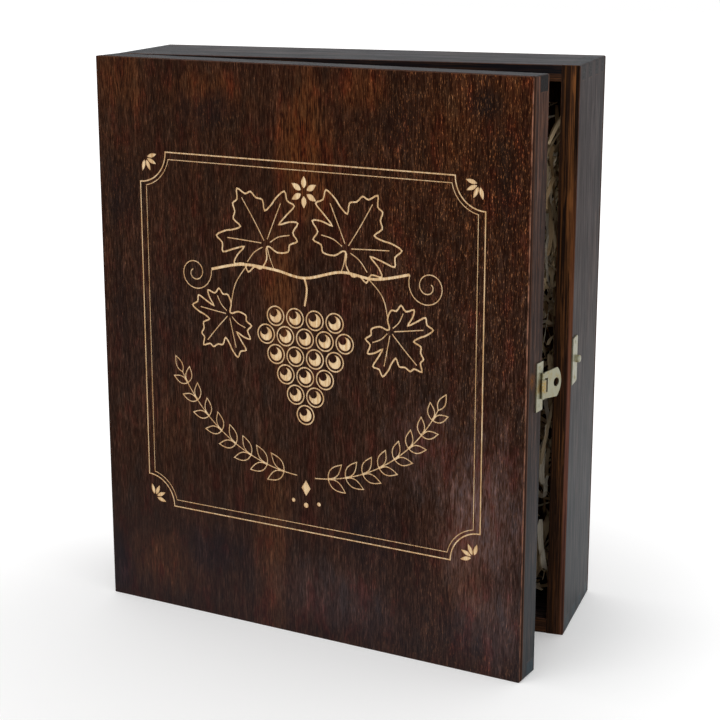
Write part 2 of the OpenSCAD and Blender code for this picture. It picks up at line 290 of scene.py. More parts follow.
# The sky lights the object, is mirrored in it, and shows behind it, each with its own strength
def addSky():
    world = bpy.data.worlds.new("studioSky")
    bpy.context.scene.world = world
    world.use_nodes = True
    tree = world.node_tree
    tree.nodes.clear()
    path = place(tree, "LightPath").outputs
    skies = []
    for tint, strength in (("white", studio["skyLight"]), ("shineColor", studio["skyShine"]), ("white", 1)):
        sky = place(tree, "Background")
        feed(sky, {"Color": studio[tint], "Strength": strength})
        skies.append(Wire(sky.outputs[0]))
    lit, shiny, seen = skies
    indirect = wired("MixShader", 0, {0: Wire(path["Is Glossy Ray"]), 1: lit, 2: shiny})
    whole = wired("MixShader", 0, {0: Wire(path["Is Camera Ray"]), 1: indirect, 2: seen})
    feed(place(tree, "OutputWorld"), {0: whole})


def addSun():
    bpy.ops.object.light_add(type="SUN", location=(-1, -1.5, 2))
    sun = bpy.context.object
    sun.name = "softSun"
    sun.data.energy = studio["sunPower"]
    sun.data.angle = math.radians(studio["sunSpread"])
    sun.rotation_euler = Vector(studio["sunFrom"]).to_track_quat("Z", "Y").to_euler()


def addFloor():
    deselect()
    bpy.ops.mesh.primitive_plane_add(size=studio["floorSize"], location=(0, 0, 0))
    floor = bpy.context.object
    floor.name = "floor"
    material, tree, shader = newMaterial("floorPaper")
    away = vectorMaths("DISTANCE", coordinates(tree, "Object"), studio["glowCentre"])
    glow = ease(away, *studio["glowReach"], *studio["floorGlow"])
    feed(shader, {
        "Base Color": studio["floorColor"], "Roughness": studio["floorRoughness"],
        "Specular IOR Level": 0, "Emission Color": studio["white"],
        "Emission Strength": glow * Wire(place(tree, "LightPath").outputs["Is Camera Ray"])})
    floor.data.materials.append(material)


addCamera()
bpy.context.scene.view_settings.view_transform = "Standard"
addSky()
addSun()
addFloor()
print("camera, light and floor")

# ---- shader groups shared by the finishes

# Fine streaks, broader bands, pores, glints and pale threads of a veneer whose grain runs along Z
def makeGrainGroup():
    tree, given, out = newGroup("veneerGrain", {"Vector": None, "Fine": 2100.0, "Length": 155.0},
                                ["Streak", "Band", "Pore", "Glint", "Thread"])
    drift = noise(mapped(given["Vector"], (60, 60, 55)), 2) * 0.0014
    x, y, z = split(given["Vector"])
    fibre = combined((x + drift) * given["Fine"], (y + drift) * given["Fine"], z * given["Length"])
    broad = noise(mapped(fibre, (0.37, 0.37, 0.25), (3, 5, 1)), 2, 0.55)
    feed(out, {"Streak": ease(noise(fibre, 2, 0.6) * 0.84 + broad * 0.16, 0.34, 0.68)})
    for label, scale, shift, detail, roughness, low, high in (
            ("Band", (0.09, 0.09, 0.05), (7, 2, 4), 3, 0.5, 0.32, 0.68),
            ("Pore", (1.5, 1.5, 1.8), (1, 8, 3), 1, 0.5, 0.60, 0.72),
            ("Glint", (1.25, 1.25, 2.6), (6, 3, 9), 2, 0.6, 0.58, 0.68)):
        feed(out, {label: ease(noise(mapped(fibre, scale, shift), detail, roughness), low, high)})
    ridge = abs(noise(mapped(fibre, (0.17, 0.17, 0.16), (2, 9, 5)), 2, 0.5) - 0.5)
    broken = noise(mapped(fibre, (0.10, 0.10, 0.35), (8, 1, 2)), 3, 0.6)
    feed(out, {"Thread": ease(ridge, 0.0, 0.05, 1, 0) * ease(broken, 0.40, 0.62)})
    return tree


# Soft-edged blotch round Centre, broken up by Ragged
def makeBlotchGroup():
    tree, given, out = newGroup("stainBlotch", {"Vector": None, "Ragged": 0.5, "Centre": None, "Reach": None},
                                ["Mask"])
    offset = vectorMaths("SUBTRACT", given["Vector"], given["Centre"])
    away = vectorMaths("LENGTH", vectorMaths("DIVIDE", offset, given["Reach"]))
    feed(out, {"Mask": ease(away + given["Ragged"] * 1.1, 0.75, 1.6, 1, 0)})
    return tree


# Mask that is 1 along the edges of the box from Low to High and fades over Width
def makeEdgeGroup():
    tree, given, out = newGroup(
        "edgeWear", {"Vector": None, "Low": None, "High": None, "Width": 0.001, "Breakup": 0.5}, ["Mask"])
    inside = vectorMaths("MINIMUM", vectorMaths("SUBTRACT", given["Vector"], given["Low"]),
                         vectorMaths("SUBTRACT", given["High"], given["Vector"]))
    x, y, z = split(inside)
    second = highest(lowest(x, y), lowest(highest(x, y), z))
    rough = noise(mapped(given["Vector"], (320, 320, 180)), 3, 0.65)
    feed(out, {"Mask": ease(second / given["Width"] + rough * given["Breakup"], 0.3, 1.2, 1, 0)})
    return tree


# Thin dark lines where the fingers meet, one every Pitch along Y from Start
def makeFingerGroup():
    tree, given, out = newGroup("fingerJoint", {"Vector": None, "Start": 0.0, "Pitch": 0.01, "Line": 0.0003},
                                ["Mask"])
    turns = (split(given["Vector"])[1] - given["Start"]) / given["Pitch"]
    away = abs(maths("FRACT", turns + 0.5) - 0.5) * given["Pitch"]
    feed(out, {"Mask": ease(away / given["Line"], 0.5, 1.0, 1, 0)})
    return tree


grainGroup = makeGrainGroup()
blotchGroup = makeBlotchGroup()
edgeGroup = makeEdgeGroup()
fingerGroup = makeFingerGroup()

# ---- stained wood

veneer = {
    "dark": color(0.0140, 0.0060, 0.0038),
    "mid": color(0.0260, 0.0110, 0.0064),
    "light": color(0.062, 0.026, 0.0145),
    "thread": color(2.1, 2.15, 2.25),
    "glint": color(0.37, 0.157, 0.068),
    "pale": color(0.110, 0.062, 0.052),
    "pore": color(0.006, 0.003, 0.002),
    "warmDark": color(0.016, 0.0050, 0.0025),
    "warmLight": color(0.150, 0.048, 0.013),
    "blueDark": color(0.010, 0.0065, 0.0075),
    "redTint": color(1.32, 0.80, 0.80),
    "slateTint": color(0.82, 1.02, 1.20),
    "deepTint": color(0.94, 0.60, 0.32),
    "highTint": color(1.0, 1.10, 1.35),
    "topTint": color(0.98, 0.80, 0.55),
    "footSheen": color(0.0045, 0.0060, 0.0085),
    "wear": color(0.17, 0.085, 0.055),
    "wearWidth": 0.9,
    "wearBreakup": 0.9,
    "rubbed": color(0.40, 0.18, 0.11),
    "plyFace": color(0.085, 0.040, 0.026),
    "plyEndDark": color(0.010, 0.005, 0.004),
    "plyEndLight": color(0.034, 0.018, 0.013),
    "plyGlue": color(0.005, 0.003, 0.002),
    "roughness": 0.44,
    "specular": 0.03,
    "edgeRoughness": 0.7,
    "edgeSpecular": 0.01,
    "bump": 0.22,
}

# Where the stain of the lid's face took more warmly, more darkly or turned pinkish: x, z, reach x, reach z
# in mm and strength
faceStain = {
    "warm": [(-128, 336, 26, 26, 0.45), (-62, 330, 40, 20, 0.55), (2, 300, 26, 62, 0.85),
             (-14, 215, 16, 60, 0.7), (98, 325, 22, 42, 0.28), (136, 340, 20, 26, 0.25),
             (40, 338, 30, 16, 0.5), (-22, 60, 17, 85, 0.4), (112, 66, 22, 60, 0.5),
             (-104, 30, 34, 26, 0.35), (-100, 130, 30, 60, 0.18)],
    "dark": [(-62, 322, 30, 16, 0.75), (66, 318, 20, 28, 0.35), (-128, 268, 22, 30, 0.55),
             (68, 206, 20, 14, 0.4), (-66, 44, 34, 22, 0.6), (46, 78, 30, 42, 0.55),
             (122, 26, 34, 22, 0.7), (-142, 20, 14, 30, 0.7), (-112, 180, 40, 80, 0.35),
             (36, 24, 40, 26, 0.5), (132, 290, 12, 44, 0.45), (117, 334, 17, 11, 0.8)],
    "pale": [(122, 96, 36, 66, 1.0), (128, 40, 30, 40, 0.7), (84, 128, 40, 40, 0.3),
             (20, 30, 60, 26, 0.3)],
}


# Object coordinates and normals, turned back to where the board would be with the lid shut
def boardSpace(tree, name):
    vector, normal = coordinates(tree, "Object"), coordinates(tree, "Normal")
    if name in lidNodes:
        turn = (0, 0, lidAjar)
        vector = mapped(vector, shift=lidShut.translation, turn=turn)
        normal = mapped(normal, turn=turn, kind="NORMAL")
    return vector, normal


def facing(normal, axis):
    return abs(split(normal)[axis]) > squareOn


# Base colour of a stained surface from its grain and its warm, dark and pale blotches. Crisp is how
# strongly its glints show, and calm draws its streaks towards one tone
def stainColor(grain, warm, dark, pale, contrast=1.0, crisp=0.25, calm=0.0):
    tone = grain["Streak"] * 0.78 + grain["Band"] * 0.22
    tone = tone + (0.42 - tone) * calm
    low = mixColor(dark, mixColor(warm, veneer["dark"], veneer["warmDark"]), veneer["blueDark"])
    middle = mixColor(dark, mixColor(warm * 0.5, veneer["mid"], veneer["warmLight"]), veneer["blueDark"])
    high = mixColor(dark, mixColor(warm, veneer["light"], veneer["warmLight"]), veneer["mid"])
    base = mixColor(ramp(tone, 0.12, 0.55), low, middle)
    base = mixColor(ramp(tone, 0.55, 1.0, 0, contrast), base, high)
    base = mixColor(pale * (tone * 0.95 + 0.12), base, veneer["pale"])
    base = mixColor(grain["Glint"] * crisp * ramp(tone, 0.2, 0.7), base, veneer["glint"])
    base = mixColor(grain["Thread"] * 0.8, base, veneer["thread"], "MULTIPLY")
    return mixColor(grain["Pore"] * 0.3, base, veneer["pore"])


def blotches(vector, kind):
    total = None
    ragged = noise(mapped(vector, (70, 70, 26)), 4, 0.6)
    for x, z, reachX, reachZ, amount in faceStain[kind]:
        mask = useGroup(blotchGroup, vector, Ragged=ragged, Centre=(x * mm, 0, z * mm),
                        Reach=(reachX * mm, 10, reachZ * mm))["Mask"] * amount
        total = highest(total, mask) if total else mask
    return total


def cloud(vector, scale, low, high, amount, shift=(0, 0, 0)):
    return ease(noise(mapped(vector, scale, shift), 4, 0.55, 0.4), low, high) * amount


# Three plies show on the edge of a panel: long grain, end grain, long grain
def plyEdge(base, vector, low, high):
    away = abs((split(vector)[1] - low.y) / (high.y - low.y) - 0.5)
    core = ease(away, 0.13, 0.19, 1, 0)
    glue = ramp(abs(away - 0.16), 0.0, 0.03, 1, 0)
    speckle = noise(mapped(vector, (900, 900, 900)), 2, 0.7)
    endGrain = mixColor(speckle, veneer["plyEndDark"], veneer["plyEndLight"])
    ply = mixColor(core, mixColor(0.45, base, veneer["plyFace"]), endGrain)
    return mixColor(glue * 0.7, ply, veneer["plyGlue"])


def wearEdges(base, vector, low, high, tint, amount):
    mask = useGroup(edgeGroup, vector, Low=low, High=high, Width=veneer["wearWidth"] * mm,
                    Breakup=veneer["wearBreakup"])["Mask"]
    return mixColor(mask * amount, base, tint)


def finishWood(shader, base, grain, roughness, specular, coat=0.0, relief=1.0):
    streak = grain["Streak"]
    feed(shader, {"Base Color": base, "Roughness": ramp(streak, 0, 1, roughness + 0.07, roughness - 0.05),
                  "Specular IOR Level": specular, "Coat Roughness": roughness, "Coat Weight": coat})
    addBump(shader, (streak - grain["Pore"]) * relief, veneer["bump"])


# The lid's face has its own blotches, is warmer towards its top, has a painted bluish sheen at its foot and a
# rubbed latch edge
def panelStain(name):
    low, high = shutBox(name)
    material, tree, shader = newMaterial(name + "Stain")
    vector, normal = boardSpace(tree, name)
    x, y, z = split(vector)
    grain = useGroup(grainGroup, vector)
    isFace = name == "lid_panel"
    if isFace:
        warm, dark, pale = [blotches(vector, kind) for kind in ("warm", "dark", "pale")]
        crisp = ease(x, 0.0, 0.12, 0.22, 0.95) * ease(z, 0.10, 0.28, 0.25, 1)
        calm = ease(x, 0.04, -0.10, 0.12, 0.45) * ease(z, 0.15, 0.03)
        lively = ramp(x, -0.15, 0.08, 0.55, 1.0) * ramp(z, 0.02, 0.24, 0.35, 1.0)
    else:
        warm = cloud(vector, (14, 14, 7), 0.45, 0.65, 0.6)
        dark = cloud(vector, (17, 17, 12), 0.5, 0.66, 0.5, (3, 1, 6))
        pale = cloud(vector, (9, 9, 6), 0.5, 0.7, 0.3, (5, 8, 2))
        crisp, calm, lively = 0.2, 0.0, 0.6
    base = stainColor(grain, warm, dark, pale, crisp=crisp, calm=calm)
    hue = noise(mapped(vector, (85, 85, 34), (9, 2, 4)), 4, 0.65)
    tints = [(ease(hue, 0.50, 0.68, 0, 0.75), "redTint"), (ease(hue, 0.48, 0.34, 0, 0.8), "slateTint"),
             (ramp(grain["Streak"], 0.50, 0.12) * lively, "deepTint"),
             (ramp(grain["Streak"], 0.52, 0.90) * lively, "highTint")]
    if isFace:
        tints.append((ease(z, 0.16, 0.30) * ramp(x, -0.15, 0.13, 0.55, 1.0), "topTint"))
    for amount, tint in tints:
        base = mixColor(amount, base, veneer[tint], "MULTIPLY")
    if isFace:
        # painted sheen: a bluish grey added at the foot of the face, standing in for the floor's reflection
        base = mixColor(ease(z, 0.11, 0.0), base, veneer["footSheen"], "ADD")
    base = wearEdges(base, vector, low, high, veneer["wear"], 0.5)
    if isFace:
        broken = noise(mapped(vector, (500, 500, 120)), 4, 0.7)
        rubbed = ease(x, 0.1452, 0.1458) * ease(broken, 0.36, 0.60, 0, 0.75) * ramp(z, 0.0, 0.20, 0.28, 1.0)
        base = mixColor(rubbed, base, veneer["rubbed"])
    finishWood(shader, base, grain, veneer["roughness"], veneer["specular"])
    return material


def panelEdge(name):
    low, high = shutBox(name)
    material, tree, shader = newMaterial(name + "Edge")
    vector, normal = boardSpace(tree, name)
    grain = useGroup(grainGroup, vector)
    base = plyEdge(mixColor(grain["Streak"], veneer["mid"], veneer["light"]), vector, low, high)
    finishWood(shader, base, grain, veneer["edgeRoughness"], veneer["edgeSpecular"])
    return material


# Solid boards: long grain on the faces, dark end grain on the fingers, a rim as it came off the saw
board = {
    "endLight": color(0.030, 0.023, 0.022),
    "endDark": color(0.007, 0.005, 0.005),
    "joint": color(0.004, 0.003, 0.003),
    "rimLight": color(0.38, 0.140, 0.038),
    "rimDark": color(0.017, 0.0090, 0.0055),
    "rimShade": color(0.006, 0.004, 0.003),
    "rimTopShade": color(0.005, 0.006, 0.008),
    "arrisWarm": color(0.25, 0.085, 0.030),
    "arrisPink": color(0.33, 0.132, 0.100),
    "sideShade": color(0.45, 0.62, 0.88),
    "sideSheen": color(0.068, 0.040, 0.038),
    "floorSheen": color(0.020, 0.100, 0.140),
    "teal": color(0.020, 0.055, 0.075),
    "topTint": color(0.65, 0.92, 1.3),
    "wear": color(0.15, 0.065, 0.035),
    "scuff": color(0.17, 0.056, 0.004),
    "scuffCentre": (0.146, -0.0528, 0.180),     # beside the latch plate
    "scuffReach": (10, 0.0050, 0.0062),
    "fine": 700.0,
    "length": 30.0,
    "roughness": 0.40,
    "specular": 0.03,
    "trayShine": 0.33,      # the lower latch side is shinier
    "lidShine": 0.38,
    "jointsFrom": 135,      # mm either side of the middle, on the top and bottom
    "middle": 175,
    "railHeight": 9.5,
    "fingerStart": {"tray": -52.25, "lid": -51.05},
    "fingerPitch": 9.722,
}


# The latch side's rim: painted shade by its inner edge and high on its arris; lower down a lighter arris, partly
# rubbed wood, partly a painted highlight
def latchRim(base, rim, saw, inward, z):
    # painted shade: a black line high on the outer arris and darkening towards the inner edge, in the gap under
    # the lid
    black = ease(inward, 0.0032, 0.0020, 0, 0.85) * ramp(z, 0.280, 0.305)
    shade = highest(ease(inward, 0.0035, 0.0090, 0, 0.65), black)
    base = mixColor(shade * rim, base, board["rimShade"])
    # the lighter arris lower down: partly rubbed wood, partly a painted highlight on its rounded edge
    rubbed = ramp(z, 0.290, 0.235, 0, 0.75) * ramp(z, 0.030, 0.105, 0.3, 1.0)
    rubbed = rubbed * ease(inward, 0.0031, 0.0017) * ramp(saw, 0.38, 0.58, 0.45, 1.0)
    wornArrisSheen = mixColor(ramp(z, 0.24, 0.13), board["arrisWarm"], board["arrisPink"])
    return mixColor(rubbed * rim, base, wornArrisSheen)


# The rust stain that the latch has left on the lid's side
def latchScuff(base, vector):
    ragged = noise(mapped(vector, (900, 900, 500)), 3, 0.7)
    scuff = useGroup(blotchGroup, vector, Ragged=ragged, Centre=board["scuffCentre"],
                     Reach=board["scuffReach"])["Mask"]
    speck = noise(mapped(vector, (1100, 1100, 900), (3, 8, 1)), 2, 0.6)
    return mixColor(scuff * ramp(speck, 0.42, 0.58, 0.15, 0.95), base, board["scuff"])


# End is the axis that the board runs along, 0 or 2, and that its end grain faces
def boardStain(name, end):
    low, high = shutBox(name)
    material, tree, shader = newMaterial(name + "Stain")
    vector, normal = boardSpace(tree, name)
    x, y, z = split(vector)
    turn = (0, math.pi / 2, 0) if end == 0 else (0, 0, 0)
    fibre = mapped(vector, shift=(low.x * 3.1, len(name) * 0.17, low.z * 1.7), turn=turn)
    grain = useGroup(grainGroup, fibre, Fine=board["fine"], Length=board["length"])
    streak = grain["Streak"]
    rim = facing(normal, 1)
    outside = split(normal)[0] > squareOn
    shine, relief = 0.0, 1.0
    warm = highest(cloud(fibre, (20, 20, 8), 0.45, 0.65, 0.45), rim * 0.35)
    dark = cloud(fibre, (26, 26, 10), 0.5, 0.66, 0.4, (3, 1, 6))
    base = stainColor(grain, warm, dark, grain["Band"] * 0.3, 0.8)
    base = mixColor(rim * 0.55, base, board["rimDark"])
    saw = noise(mapped(fibre, (1050, 1050, 9), (4, 2, 7)), 3, 0.7)
    patch = noise(mapped(fibre, (150, 150, 24), (5, 9, 3)), 4, 0.7)
    gleam = highest(ease(saw, 0.48, 0.68, 0, 0.95), ease(streak, 0.6, 1.0, 0, 0.5))
    gleam = gleam * ease(patch, 0.34, 0.55, 0.42, 1.0)
    if end == 2:
        gleam = gleam * ramp(z, 0.05, 0.24, 0.35, 1.0)
    if name == "bottom_board":
        gleam = gleam * ramp(x, 0.04, 0.12, 1, 0.15)
    base = mixColor(gleam * rim, base, board["rimLight"])
    if name == "top_board":
        # painted shade: a dark band along the top of the top board's rim, the lid's shadow
        base = mixColor(rim * ease(z, 0.3425, 0.3455, 0, 0.9), base, board["rimTopShade"])
    if end == 0:
        # painted reflection: faces up and down turn grey-blue, standing in for the bright sky mirrored in their
        # varnish
        base = mixColor(facing(normal, 2), base, board["topTint"], "MULTIPLY")
    if name == "latch_side_board":
        base = latchRim(base, rim, saw, high.x - x, z)
        # painted shade and a painted cool reflection: the whole outer side is darkened and turned blue
        base = mixColor(outside * 0.9, base, board["sideShade"], "MULTIPLY")
        # painted sheen: a lighter pinkish grey high on the outer side, towards its front
        sideSheen = ramp(y, low.y + 0.080, low.y, 0, 0.5) * ramp(z, 0.08, 0.26)
        sideSheen = sideSheen * ramp(streak, 0.15, 0.75, 0.35, 1.0)
        base = mixColor(sideSheen * outside, base, board["sideSheen"])
        relief = 1.0 - outside * 0.6
        # painted sheen of the floor: bluish towards the foot of the outer side, where the coat is also made
        # shinier
        floorSheen = ease(z, 0.27, 0.02) * outside
        shine = floorSheen * board["trayShine"]
        base = mixColor(ramp(floorSheen, 0.2, 1, 0, 0.10), base, board["floorSheen"])
    if name == "lid_latch_stile":
        # painted shade and a painted bluish sheen of the floor towards the foot of the lid's outer side, where the
        # coat is also made shinier
        floorSheen = ease(z, 0.24, 0.02) * outside
        shine = floorSheen * board["lidShine"]
        base = mixColor(floorSheen, base, board["sideShade"], "MULTIPLY")
        base = mixColor(ramp(floorSheen, 0.3, 1, 0, 0.09), base, board["floorSheen"])
        base = latchScuff(base, vector)
    speckle = noise(mapped(vector, (1500, 1500, 1500)), 2, 0.7)
    ring = noise(mapped(vector, (260, 420, 420), (2, 1, 5)), 2, 0.6, 0.5)
    endTone = ramp(speckle, 0.35, 0.7) * ramp(ring, 0.3, 0.7, 0.4, 1)
    endColor = mixColor(endTone, board["endDark"], board["endLight"])
    if name in ("bottom_board", "lid_bottom_rail"):
        latchEnd = (x > 0) * facing(normal, 0)
        endColor = mixColor(latchEnd * 0.5, endColor, board["teal"])
        shine = latchEnd * board["lidShine"]
    base = mixColor(facing(normal, end), base, endColor)
    body = "lid" if name in lidNodes else "tray"
    joints = useGroup(fingerGroup, vector, Start=board["fingerStart"][body] * mm,
                      Pitch=board["fingerPitch"] * mm)["Mask"]
    if end == 0:
        near = abs(x) > board["jointsFrom"] * mm
    else:
        near = abs(z - board["middle"] * mm) > (board["middle"] - board["railHeight"]) * mm
    base = mixColor(joints * near * (1.0 - rim), base, board["joint"])
    base = wearEdges(base, vector, low, high, board["wear"], 0.6)
    finishWood(shader, base, grain, board["roughness"], board["specular"], shine, relief)
    return material


# A CAD panel keeps its mesh, so its edges take their own finish by which way they face
def paintPanel(name):
    paint(name, panelStain(name))
    mesh = nodes[name].data
    mesh.materials.append(panelEdge(name))
    for face in mesh.polygons:
        face.material_index = 0 if abs(face.normal.y) > squareOn else 1


paintPanel("back_panel")
for name in ("hinge_side_board", "latch_side_board", "lid_hinge_stile", "lid_latch_stile"):
    paint(name, boardStain(name, 2))
for name in ("top_board", "bottom_board", "lid_top_rail", "lid_bottom_rail"):
    paint(name, boardStain(name, 0))
print("boards stained")

# ---- drawing of the engraving, in mm from its centre: across, up

engraving = {
    "centre": (2, 181),
    "depth": 0.30,
    "sheetStep": 9.7,       # the sheet is divided this finely before it is cut
    "line": 1.05,
    "fine": 0.72,
    "frameLines": (0.85, 0.6),
    "grapeLine": 0.9,
    "caneLine": 1.7,
    "stalkLine": 1.4,
    "frameHalf": (117, 113),
    "frameNotch": 19,
    "frameGap": 4.4,
    "drawingHalf": 125,
    "faceDeep": 0.6,        # less deep than this belongs to the face
    "slack": (0.01, 0.05),  # how far past the face and past its floor the cut is looked for
    "floorOn": 0.7,         # a floor's normal reaches this far outward
    "bunchRows": (4, 5, 4, 3, 2, 1),
    "grapeSpacing": 13.6,
    "grapeRadius": 5.85,
    "bunchTop": 20,
    "leaves": [((-26, 62), 122, 34), ((28, 64), 58, 35), ((-53, 18), 228, 26), ((57, 20), -46, 27)],
    "cane": [(-66, 44), (-44, 49), (-21, 48), (0, 45), (25, 51), (47, 49), (70, 54)],
    "bunchStalk": [(0, 45), (1.5, 38), (0, 28)],
    "leafStalks": [[(-21, 48), (-24, 55), (-26, 62)], [(25, 51), (27, 57), (28, 64)],
                   [(-40, 49), (-49, 36), (-53, 18)], [(43, 49), (53, 38), (57, 20)]],
    "sprayRadius": 100,
    "sprayCentre": (0, 22),
    "sprayEnd": -27,
    "flowerCentre": (0, 96),
    "smoothAngle": 35,
}

engravedTones = {
    "engravedWood": {"dark": color(0.66, 0.425, 0.205), "light": color(0.90, 0.685, 0.420),
                     "pore": color(0.36, 0.18, 0.07), "length": 60.0, "roughness": (0.8, 0.65)},
    "burntWood": {"dark": color(0.16, 0.055, 0.017), "light": color(0.46, 0.21, 0.075),
                  "length": 120.0, "roughness": (0.85, 0.7)},
}


def onCircle(centre, radius, angle):
    angle = math.radians(angle)
    return (centre[0] + radius * math.cos(angle), centre[1] + radius * math.sin(angle))


def arcPoints(centre, radius, start, end, steps):
    return [onCircle(centre, radius, start + (end - start) * step / steps) for step in range(steps + 1)]


def turned(points, base, angle, size=1.0):
    c, s = math.cos(math.radians(angle)), math.sin(math.radians(angle))
    return [(base[0] + size * (x * c - y * s), base[1] + size * (x * s + y * c)) for x, y in points]


def mirrored(points):
    return [(-x, y) for x, y in reversed(points)]


# Rounds a run of points with a curve through each of them
def smoothed(points, closed, steps=4):
    count = len(points)
    result = []
    for index in range(count if closed else count - 1):
        around = range(index - 1, index + 3)
        four = [points[spot % count if closed else min(max(spot, 0), count - 1)] for spot in around]
        for step in range(steps):
            t = step / steps
            weights = (-0.5 * t + t * t - 0.5 * t ** 3, 1 - 2.5 * t * t + 1.5 * t ** 3,
                       0.5 * t + 2 * t * t - 1.5 * t ** 3, -0.5 * t * t + 0.5 * t ** 3)
            result.append(tuple(sum(w * point[axis] for w, point in zip(weights, four)) for axis in (0, 1)))
    if not closed:
        result.append(points[-1])
    return result


def almond(base, angle, length, width):
    side = [(length * t / 8, 0.5 * width * math.sin(math.pi * (t / 8) ** 0.85)) for t in range(9)]
    return turned(side + [(x, -y) for x, y in reversed(side[1:-1])], base, angle)


# A lobed, toothed vine leaf with its stalk at the base and its tip along the angle
vineLeafHalf = [(0.04, -0.04), (0.13, -0.20), (0.33, -0.29), (0.43, -0.20), (0.60, -0.22), (0.60, -0.05),
                (0.78, 0.04), (0.64, 0.14), (0.43, 0.20), (0.66, 0.27), (0.88, 0.33), (0.80, 0.47),
                (0.84, 0.64), (0.62, 0.62), (0.49, 0.57), (0.30, 0.54), (0.36, 0.72), (0.26, 0.82),
                (0.22, 0.96), (0.10, 0.98), (0.0, 1.14)]
vineLeafVeins = [[(0, 0.10), (0.01, 0.5), (0, 0.96)], [(0.07, 0.09), (0.34, 0.28), (0.66, 0.50)],
                 [(-0.07, 0.09), (-0.34, 0.28), (-0.66, 0.50)], [(0.09, 0.02), (0.3, 0.02), (0.52, -0.06)],
                 [(-0.09, 0.02), (-0.3, 0.02), (-0.52, -0.06)]]


def vineLeaf(base, angle, size):
    outline = vineLeafHalf + mirrored(vineLeafHalf[:-1])
    return turned(smoothed(outline, True, 3), base, angle - 90, size)


def veins(base, angle, size):
    return [turned(smoothed(vein, False), base, angle - 90, size) for vein in vineLeafVeins]


def tendril(centre, start, end, turns, startAngle, steps=40):
    shares = [step / steps for step in range(steps + 1)]
    return [onCircle(centre, start + (end - start) * t ** 0.8, startAngle + 360 * turns * t) for t in shares]


# A disc with a highlight bitten out of its upper left
def grapeFlesh(centre, radius=4.2, bite=2.5, shift=2.25, towards=125):
    outer = math.degrees(math.acos((shift ** 2 + radius ** 2 - bite ** 2) / (2 * shift * radius)))
    across = radius * math.sin(math.radians(outer))
    inner = math.degrees(math.atan2(across, radius * math.cos(math.radians(outer)) - shift))
    rim = arcPoints(centre, radius, towards + outer, towards + 360 - outer, 20)
    bitten = arcPoints(onCircle(centre, shift, towards), bite, towards - inner, towards - 360 + inner, 14)
    return rim + bitten[1:-1]


def notchedFrame(inset):
    cornerU, cornerV = engraving["frameHalf"]
    reach = engraving["frameNotch"] + inset * 0.55
    leg = math.degrees(math.asin(inset / reach))
    points = []
    for signU, signV, start in ((1, 1, 180), (-1, 1, 270), (-1, -1, 0), (1, -1, 90)):
        arc = arcPoints((signU * cornerU, signV * cornerV), reach, start + leg, start + 90 - leg, 14)
        points += reversed(arc)
    return points


def diamond(centre, halfU, halfV):
    u, v = centre
    return [(u + halfU, v), (u, v + halfV), (u - halfU, v), (u, v - halfV)]


def dot(centre, radius):
    return arcPoints(centre, radius, 0, 345, 23)


def bunchCentres():
    centres = []
    spacing = engraving["grapeSpacing"]
    rowStep = 0.866
    for row, count in enumerate(engraving["bunchRows"]):
        up = engraving["bunchTop"] - row * spacing * rowStep
        centres += [((index - (count - 1) / 2) * spacing, up) for index in range(count)]
    return centres


# Leaf i of a spray stands in a pair at its own angle round the spray's centre, smaller towards the end
def sprayLeaves():
    leaves = []
    for index in range(8):
        angle = -81 + index * 7.1
        foot = onCircle(engraving["sprayCentre"], engraving["sprayRadius"], angle)
        for side in (-1, 1):
            base = onCircle(foot, -side * 0.4, angle)
            leaves.append(almond(base, angle + 90 + side * 38, 13.5 - index * 0.45, 5.6 - index * 0.15))
    return leaves


# Layers of strokes (points, closed, width) and filled shapes; shapes of one layer never overlap
def drawEngraving():
    line, fine = engraving["line"], engraving["fine"]
    layers = [{"strokes": [], "fills": []} for index in range(4)]
    fills = [layer["fills"] for layer in layers]

    def draw(layer, width, points, closed=False):
        layers[layer]["strokes"].append((points, closed, width))

    draw(0, engraving["frameLines"][0], notchedFrame(0), True)
    draw(1, engraving["frameLines"][1], notchedFrame(engraving["frameGap"]), True)
    for centre in bunchCentres():
        draw(0, engraving["grapeLine"], dot(centre, engraving["grapeRadius"]), True)
        fills[0].append(grapeFlesh(centre))
    for base, angle, size in engraving["leaves"]:
        draw(1, line, vineLeaf(base, angle, size), True)
        for vein in veins(base, angle, size):
            draw(0, fine, vein)
    draw(2, engraving["caneLine"], smoothed(engraving["cane"], False, 6))
    draw(3, engraving["stalkLine"], smoothed(engraving["bunchStalk"], False, 6))
    for stalk in engraving["leafStalks"]:
        draw(3, fine, smoothed(stalk, False, 6))
    draw(3, fine, tendril((-78, 41), 12.4, 2.2, -1.7, 12))
    draw(3, fine, tendril((82, 48), 13.4, 2.2, 1.7, 153))
    centre, radius, end = engraving["sprayCentre"], engraving["sprayRadius"], engraving["sprayEnd"]
    for flip in (False, True):
        stem = arcPoints(centre, radius, -86.5, end, 40)
        draw(2, fine, mirrored(stem) if flip else stem)
        for leaf in sprayLeaves():
            draw(0, fine, mirrored(leaf) if flip else leaf, True)
    tip = almond(onCircle(centre, radius, end), 63, 11, 4.6)
    draw(0, fine, tip, True)
    draw(0, fine, mirrored(tip), True)
    fills[0] += [diamond((0, -85), 3.2, 5.2), dot((-9, -94), 1.3), dot((9, -94), 1.3), dot((0, -96), 1.7)]
    for angle in range(30, 360, 60):
        fills[1].append(almond(onCircle(engraving["flowerCentre"], 2.2, angle), angle, 7.5, 3.6))
    halfU, halfV = engraving["frameHalf"]
    for signU in (-1, 1):
        for signV in (-1, 1):
            corner = (signU * (halfU - 4), signV * (halfV - 4))
            out = math.degrees(math.atan2(signV, signU))
            for spread in (-60, -20, 20, 60):
                base = onCircle(corner, -1.5, out + spread)
                fills[2].append(almond(base, out + 180 + spread, 7.5, 2.6))
    return layers


def weldMesh():
    bpy.ops.object.mode_set(mode="EDIT")
    bpy.ops.mesh.select_all(action="SELECT")
    bpy.ops.mesh.remove_doubles(threshold=1e-6)


